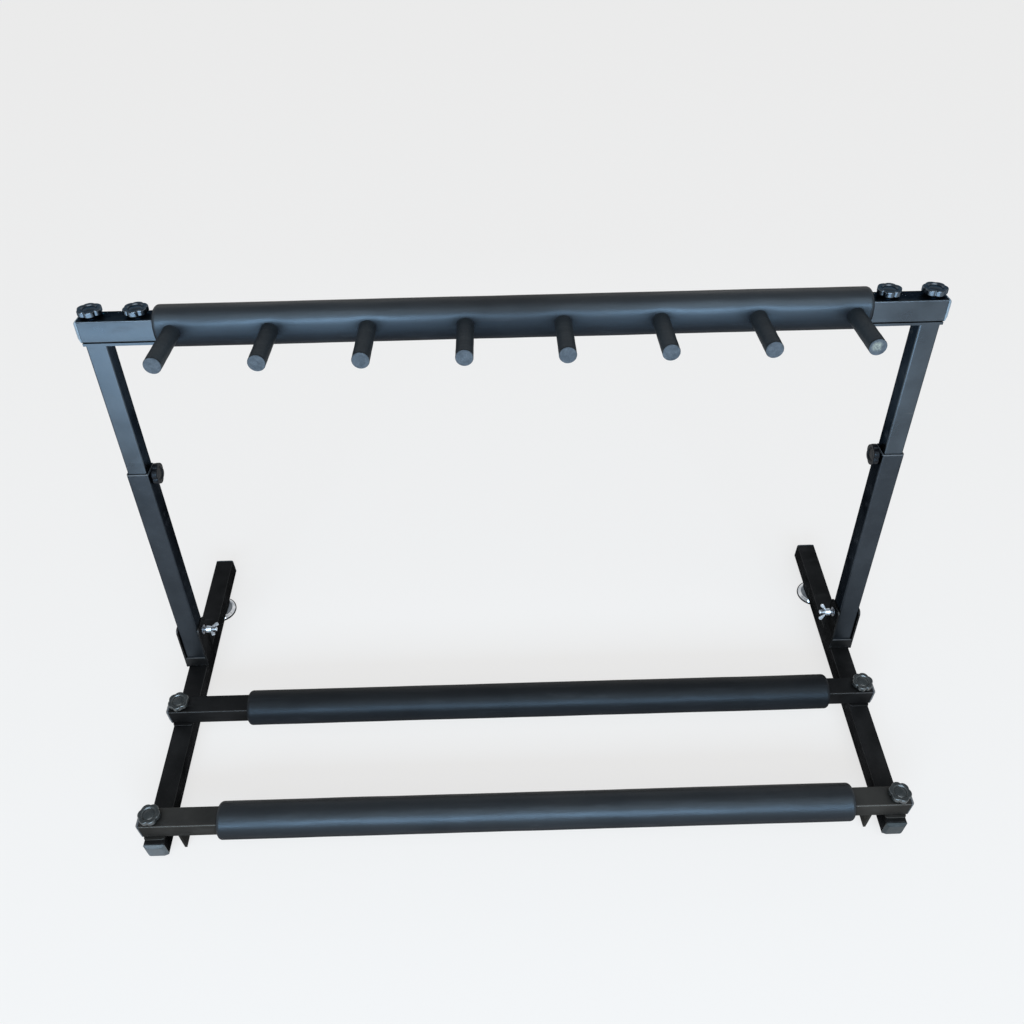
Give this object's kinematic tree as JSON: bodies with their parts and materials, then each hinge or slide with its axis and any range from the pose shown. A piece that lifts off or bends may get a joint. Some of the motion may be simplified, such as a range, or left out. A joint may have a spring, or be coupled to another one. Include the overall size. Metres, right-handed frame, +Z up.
{
  "type": "racket display stand",
  "caption": "Folding floor stand that displays a row of rackets: padded low crossbars for the heads, leaning telescopic uprights and a padded top bar with pegs for the grips.",
  "frame": {"origin": "on the floor, below the middle of the stand's bounding box", "axes": "+X to the right along the crossbars as a viewer in front sees it, +Y to the rear, +Z up"},
  "size_m": [0.919, 0.448, 0.5494],
  "materials": {
    "frame_steel": "satin black powder coat",
    "cap_plastic": "satin black plastic",
    "knob_plastic": "glossy black moulded plastic",
    "foam": "matte charcoal closed-cell foam with a smooth skin",
    "peg_foam": "matte black foam rubber, greyer at the cut end",
    "zinc": "bright zinc plate",
    "chrome": "mirror chrome",
    "foot_rubber": "matte black rubber"
  },
  "bodies": {
    "base": {"left_leg_tube": "frame_steel", "left_leg_front_cap": "cap_plastic", "left_leg_rear_cap": "cap_plastic", "left_chrome_foot": "chrome", "left_rubber_foot": "foot_rubber", "left_hinge_bracket": "frame_steel", "left_pivot_bolt": "zinc", "left_pivot_washer": "zinc", "right_leg_tube": "frame_steel", "right_leg_front_cap": "cap_plastic", "right_leg_rear_cap": "cap_plastic", "right_chrome_foot": "chrome", "right_rubber_foot": "foot_rubber", "right_hinge_bracket": "frame_steel", "right_pivot_bolt": "zinc", "right_pivot_washer": "zinc", "front_crossbar": "frame_steel", "front_crossbar_left_cap": "cap_plastic", "front_crossbar_right_cap": "cap_plastic", "front_foam_sleeve": "foam", "front_left_saddle": "frame_steel", "front_right_saddle": "frame_steel", "middle_crossbar": "frame_steel", "middle_crossbar_left_cap": "cap_plastic", "middle_crossbar_right_cap": "cap_plastic", "middle_foam_sleeve": "foam", "middle_left_saddle": "frame_steel", "middle_right_saddle": "frame_steel"},
    "uprights": {"left_outer_upright": "frame_steel", "left_guide_collar": "cap_plastic", "right_outer_upright": "frame_steel", "right_guide_collar": "cap_plastic"},
    "upper_frame": {"left_inner_upright": "frame_steel", "left_top_strip": "frame_steel", "right_inner_upright": "frame_steel", "right_top_strip": "frame_steel", "top_crossbar": "frame_steel", "top_crossbar_left_cap": "cap_plastic", "top_crossbar_right_cap": "cap_plastic", "top_foam_sleeve": "foam", "peg_sleeve_1": "peg_foam", "peg_sleeve_2": "peg_foam", "peg_sleeve_3": "peg_foam", "peg_sleeve_4": "peg_foam", "peg_sleeve_5": "peg_foam", "peg_sleeve_6": "peg_foam", "peg_sleeve_7": "peg_foam", "peg_sleeve_8": "peg_foam"},
    "front_left_knob": {"front_left_knob": "knob_plastic"},
    "front_right_knob": {"front_right_knob": "knob_plastic"},
    "middle_left_knob": {"middle_left_knob": "knob_plastic"},
    "middle_right_knob": {"middle_right_knob": "knob_plastic"},
    "top_left_outer_knob": {"top_left_outer_knob": "knob_plastic"},
    "top_left_inner_knob": {"top_left_inner_knob": "knob_plastic"},
    "top_right_outer_knob": {"top_right_outer_knob": "knob_plastic"},
    "top_right_inner_knob": {"top_right_inner_knob": "knob_plastic"},
    "left_side_knob": {"left_side_knob": "knob_plastic"},
    "right_side_knob": {"right_side_knob": "knob_plastic"},
    "left_wing_nut": {"left_wing_nut": "zinc"},
    "right_wing_nut": {"right_wing_nut": "zinc"}
  },
  "joints": [
    {"name": "uprights_fold", "type": "hinge", "parent": "base", "child": "uprights", "pos_m": [0, 0.053, 0.087], "axis": [1, 0, 0], "range_deg": [0, 90]},
    {"name": "height_slide", "type": "slide", "parent": "uprights", "child": "upper_frame", "axis": [0, 0.1392, 0.9903], "range_m": [-0.12, 0.06]},
    {"name": "front_left_knob_turn", "type": "hinge", "parent": "base", "child": "front_left_knob", "pos_m": [-0.4375, -0.2, 0.062], "axis": [0, 0, 1], "range_deg": [0, 360]},
    {"name": "front_right_knob_turn", "type": "hinge", "parent": "base", "child": "front_right_knob", "pos_m": [0.4375, -0.2, 0.062], "axis": [0, 0, 1], "range_deg": [0, 360]},
    {"name": "middle_left_knob_turn", "type": "hinge", "parent": "base", "child": "middle_left_knob", "pos_m": [-0.4375, -0.047, 0.062], "axis": [0, 0, 1], "range_deg": [0, 360]},
    {"name": "middle_right_knob_turn", "type": "hinge", "parent": "base", "child": "middle_right_knob", "pos_m": [0.4375, -0.047, 0.062], "axis": [0, 0, 1], "range_deg": [0, 360]},
    {"name": "top_left_outer_knob_turn", "type": "hinge", "parent": "upper_frame", "child": "top_left_outer_knob", "pos_m": [-0.4375, 0.11645, 0.53846], "axis": [0, 0.1392, 0.9903], "range_deg": [0, 360]},
    {"name": "top_left_inner_knob_turn", "type": "hinge", "parent": "upper_frame", "child": "top_left_inner_knob", "pos_m": [-0.39, 0.11645, 0.53846], "axis": [0, 0.1392, 0.9903], "range_deg": [0, 360]},
    {"name": "top_right_outer_knob_turn", "type": "hinge", "parent": "upper_frame", "child": "top_right_outer_knob", "pos_m": [0.4375, 0.11645, 0.53846], "axis": [0, 0.1392, 0.9903], "range_deg": [0, 360]},
    {"name": "top_right_inner_knob_turn", "type": "hinge", "parent": "upper_frame", "child": "top_right_inner_knob", "pos_m": [0.39, 0.11645, 0.53846], "axis": [0, 0.1392, 0.9903], "range_deg": [0, 360]},
    {"name": "left_side_knob_turn", "type": "hinge", "parent": "uprights", "child": "left_side_knob", "pos_m": [-0.425, 0.08857, 0.34011], "axis": [1, 0, 0], "range_deg": [0, 360]},
    {"name": "right_side_knob_turn", "type": "hinge", "parent": "uprights", "child": "right_side_knob", "pos_m": [0.425, 0.08857, 0.34011], "axis": [-1, 0, 0], "range_deg": [0, 360]},
    {"name": "left_wing_nut_turn", "type": "hinge", "parent": "base", "child": "left_wing_nut", "pos_m": [-0.42, 0.053, 0.087], "axis": [1, 0, 0], "range_deg": [0, 360]},
    {"name": "right_wing_nut_turn", "type": "hinge", "parent": "base", "child": "right_wing_nut", "pos_m": [0.42, 0.053, 0.087], "axis": [-1, 0, 0], "range_deg": [0, 360]}
  ]
}
